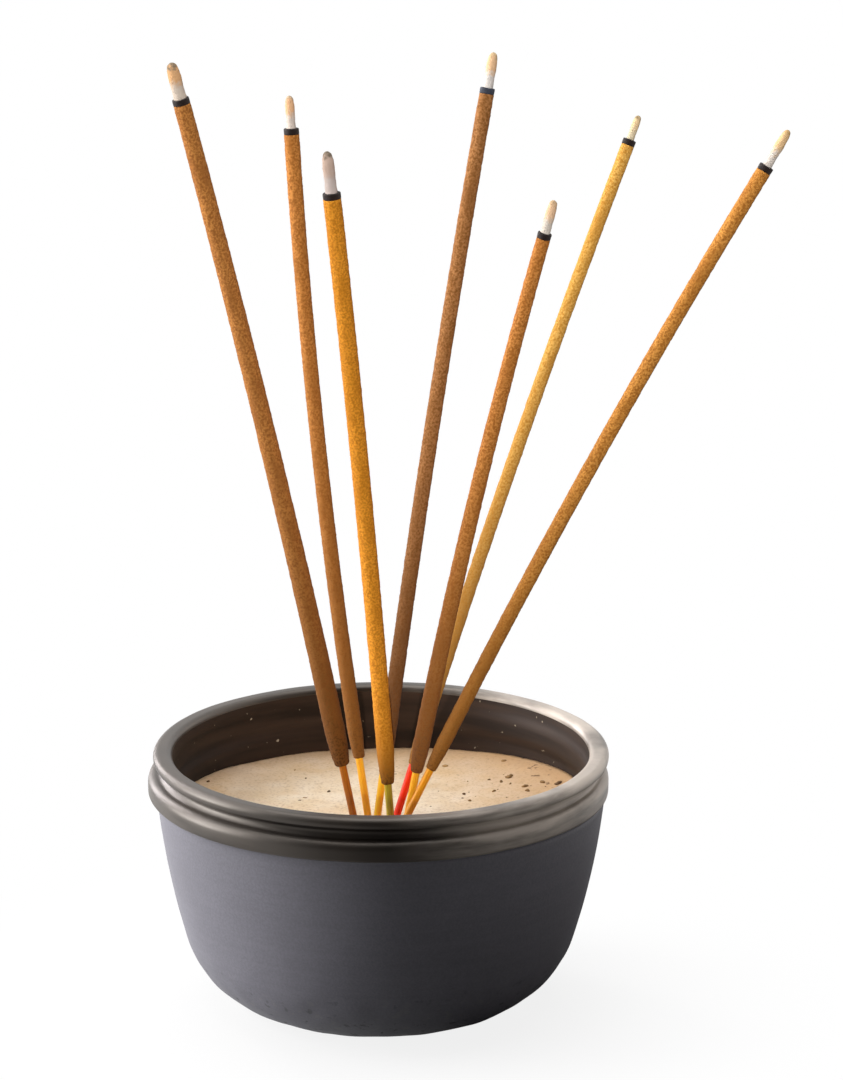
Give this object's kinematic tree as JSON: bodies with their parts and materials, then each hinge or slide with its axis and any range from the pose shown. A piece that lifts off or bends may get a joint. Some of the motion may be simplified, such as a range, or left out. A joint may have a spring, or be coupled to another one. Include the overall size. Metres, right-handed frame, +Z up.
{
  "type": "incense burner",
  "caption": "Round stoneware bowl with a grooved rim, bedded with ash that holds a fan of part-burnt incense sticks, which pull straight out.",
  "frame": {"origin": "middle of the bowl's foot, on the surface that it stands on", "axes": "+Z up along the bowl's axis, -Y towards the viewer of the picture, +X to the viewer's right"},
  "size_m": [0.1249, 0.092, 0.1933],
  "materials": {
    "bowl_stoneware": "matte slate slip outside below the collar, dark brown-black glaze on collar, lip and inside",
    "ash": "loose settled ash, matte and granular",
    "bamboo_1": "dyed split bamboo, satin",
    "incense_paste_1": "rolled wood-powder paste, matte and granular",
    "bamboo_2": "dyed split bamboo, satin",
    "incense_paste_2": "rolled wood-powder paste, matte and granular",
    "bamboo_3": "dyed split bamboo, satin",
    "incense_paste_3": "rolled wood-powder paste, matte and granular",
    "bamboo_4": "dyed split bamboo, satin",
    "incense_paste_4": "rolled wood-powder paste, matte and granular",
    "bamboo_5": "dyed split bamboo, satin",
    "incense_paste_5": "rolled wood-powder paste, matte and granular",
    "bamboo_6": "dyed split bamboo, satin",
    "incense_paste_6": "rolled wood-powder paste, matte and granular",
    "bamboo_7": "dyed split bamboo, satin",
    "incense_paste_7": "rolled wood-powder paste, matte and granular",
    "char": "charred, matte",
    "burnt_ash": "burnt ash, matte, pale near the band and tan at the tip"
  },
  "bodies": {
    "burner": {"bowl": "bowl_stoneware", "ash_bed": "ash"},
    "stick_1": {"stick_1_bamboo_core": "bamboo_1", "stick_1_incense_coat": "incense_paste_1", "stick_1_char_ring": "char", "stick_1_ash_tip": "burnt_ash"},
    "stick_2": {"stick_2_bamboo_core": "bamboo_2", "stick_2_incense_coat": "incense_paste_2", "stick_2_char_ring": "char", "stick_2_ash_tip": "burnt_ash"},
    "stick_3": {"stick_3_bamboo_core": "bamboo_3", "stick_3_incense_coat": "incense_paste_3", "stick_3_char_ring": "char", "stick_3_ash_tip": "burnt_ash"},
    "stick_4": {"stick_4_bamboo_core": "bamboo_4", "stick_4_incense_coat": "incense_paste_4", "stick_4_char_ring": "char", "stick_4_ash_tip": "burnt_ash"},
    "stick_5": {"stick_5_bamboo_core": "bamboo_5", "stick_5_incense_coat": "incense_paste_5", "stick_5_char_ring": "char", "stick_5_ash_tip": "burnt_ash"},
    "stick_6": {"stick_6_bamboo_core": "bamboo_6", "stick_6_incense_coat": "incense_paste_6", "stick_6_char_ring": "char", "stick_6_ash_tip": "burnt_ash"},
    "stick_7": {"stick_7_bamboo_core": "bamboo_7", "stick_7_incense_coat": "incense_paste_7", "stick_7_char_ring": "char", "stick_7_ash_tip": "burnt_ash"}
  },
  "joints": [
    {"name": "stick_1_pull_out", "type": "slide", "parent": "burner", "child": "stick_1", "axis": [-0.192, -0.0752, 0.9785], "range_m": [0, 0.046]},
    {"name": "stick_2_pull_out", "type": "slide", "parent": "burner", "child": "stick_2", "axis": [-0.144, 0.0971, 0.9848], "range_m": [0, 0.046]},
    {"name": "stick_3_pull_out", "type": "slide", "parent": "burner", "child": "stick_3", "axis": [-0.0716, -0.0322, 0.9969], "range_m": [0, 0.046]},
    {"name": "stick_4_pull_out", "type": "slide", "parent": "burner", "child": "stick_4", "axis": [0.129, 0.103, 0.9863], "range_m": [0, 0.046]},
    {"name": "stick_5_pull_out", "type": "slide", "parent": "burner", "child": "stick_5", "axis": [0.1798, -0.0529, 0.9823], "range_m": [0, 0.046]},
    {"name": "stick_6_pull_out", "type": "slide", "parent": "burner", "child": "stick_6", "axis": [0.2975, 0.1549, 0.9421], "range_m": [0, 0.046]},
    {"name": "stick_7_pull_out", "type": "slide", "parent": "burner", "child": "stick_7", "axis": [0.4384, 0.0523, 0.8973], "range_m": [0, 0.046]}
  ]
}
